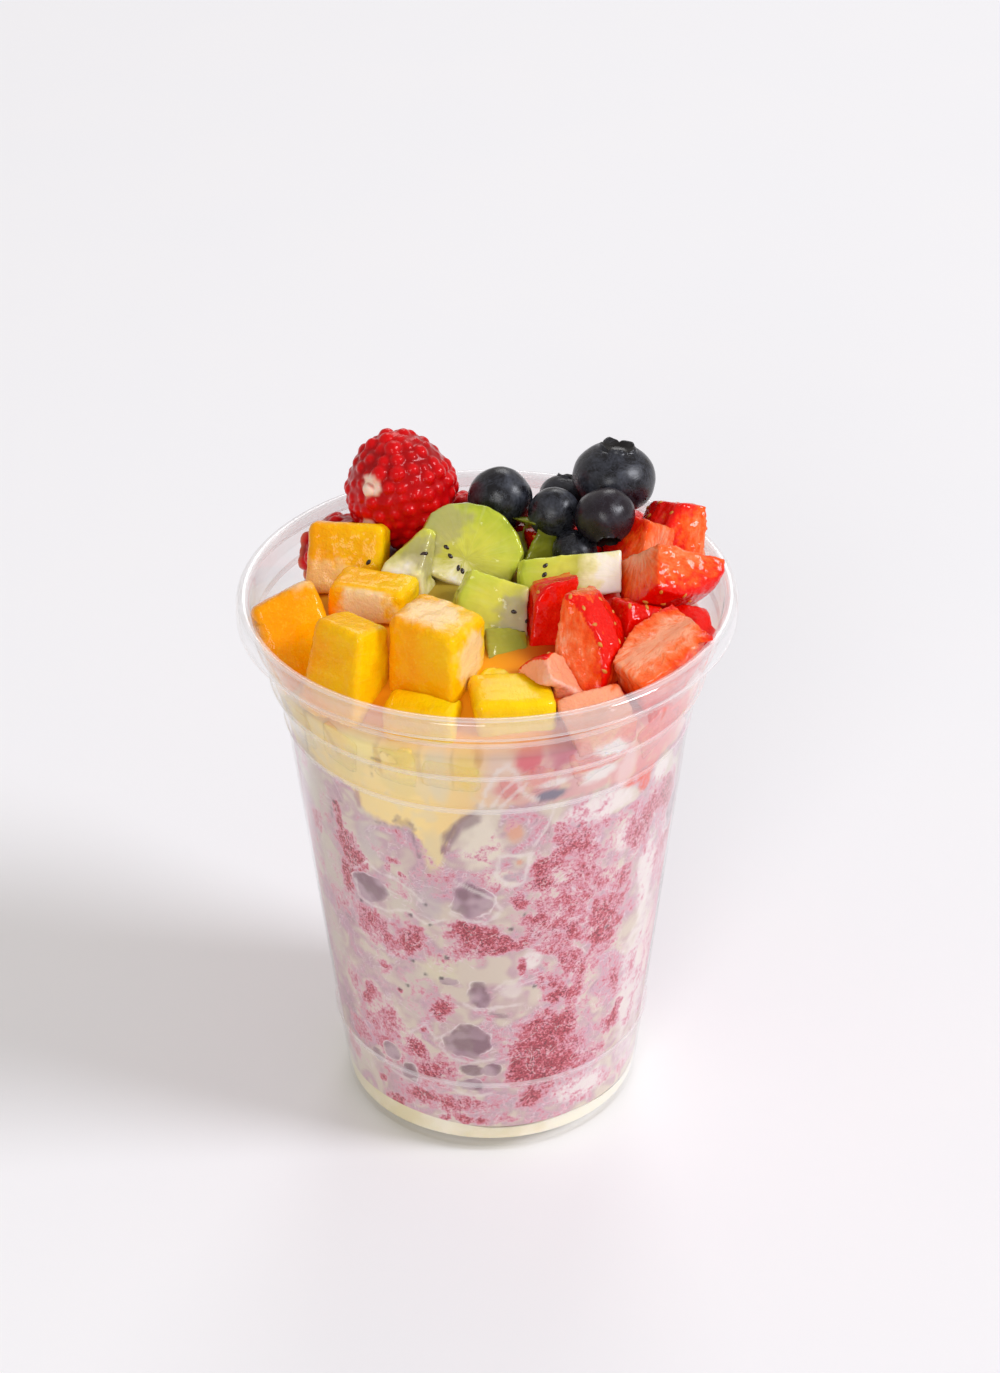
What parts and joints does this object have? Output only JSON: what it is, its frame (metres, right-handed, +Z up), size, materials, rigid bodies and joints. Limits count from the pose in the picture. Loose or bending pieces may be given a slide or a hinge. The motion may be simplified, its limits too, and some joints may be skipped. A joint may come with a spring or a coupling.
{
  "type": "fruit parfait",
  "caption": "Fruit parfait in a clear tapered plastic cup: marbled berry and cream filling under a heap of cut mango, kiwi and strawberry with whole berries.",
  "frame": {"origin": "middle of the cup's foot, on the surface that it stands on", "axes": "+Z up along the cup's axis, +X to the right and +Y to the back as the cup is seen in the picture"},
  "size_m": [0.098, 0.098, 0.1366],
  "materials": {
    "clear_plastic": "clear, glossy, thin",
    "base_cream": "smooth, moist",
    "berry_swirl": "grainy berry pulp marbled with cream",
    "top_cream": "wet, smooth",
    "mango": "wet cut flesh",
    "strawberry": "wet, cut, pale core",
    "kiwi": "wet cut flesh with seeds",
    "raspberry": "moist drupelets",
    "blueberry": "waxy skin with bloom"
  },
  "bodies": {
    "root": {"cup": "clear_plastic", "cream_base": "base_cream", "berry_swirl": "berry_swirl", "cream_top": "top_cream", "mango_front": "mango", "mango_front_left": "mango", "mango_mid_left": "mango", "mango_left": "mango", "mango_back_left": "mango", "mango_front_low": "mango", "mango_low_middle": "mango", "mango_front_edge": "mango", "mango_wall_1": "mango", "mango_wall_2": "mango", "mango_wall_3": "mango", "mango_wall_4": "mango", "strawberry_front": "strawberry", "strawberry_front_left": "strawberry", "strawberry_right": "strawberry", "strawberry_right_front": "strawberry", "strawberry_right_back": "strawberry", "strawberry_right_mid": "strawberry", "strawberry_front_low": "strawberry", "strawberry_front_edge": "strawberry", "strawberry_low_right": "strawberry", "strawberry_low_middle": "strawberry", "strawberry_edge": "strawberry", "strawberry_wall_1": "strawberry", "strawberry_wall_2": "strawberry", "strawberry_wall_3": "strawberry", "strawberry_wall_4": "strawberry", "strawberry_back": "strawberry", "strawberry_under_middle": "strawberry", "strawberry_under_right": "strawberry", "kiwi_core": "kiwi", "kiwi_middle": "kiwi", "kiwi_back": "kiwi", "kiwi_left": "kiwi", "kiwi_low": "kiwi", "kiwi_shaded": "kiwi", "raspberry_top": "raspberry", "raspberry_left": "raspberry", "raspberry_back": "raspberry", "blueberry_left": "blueberry", "blueberry_top": "blueberry", "blueberry_middle": "blueberry", "blueberry_right": "blueberry", "blueberry_small": "blueberry", "blueberry_hidden": "blueberry"}
  },
  "joints": []
}
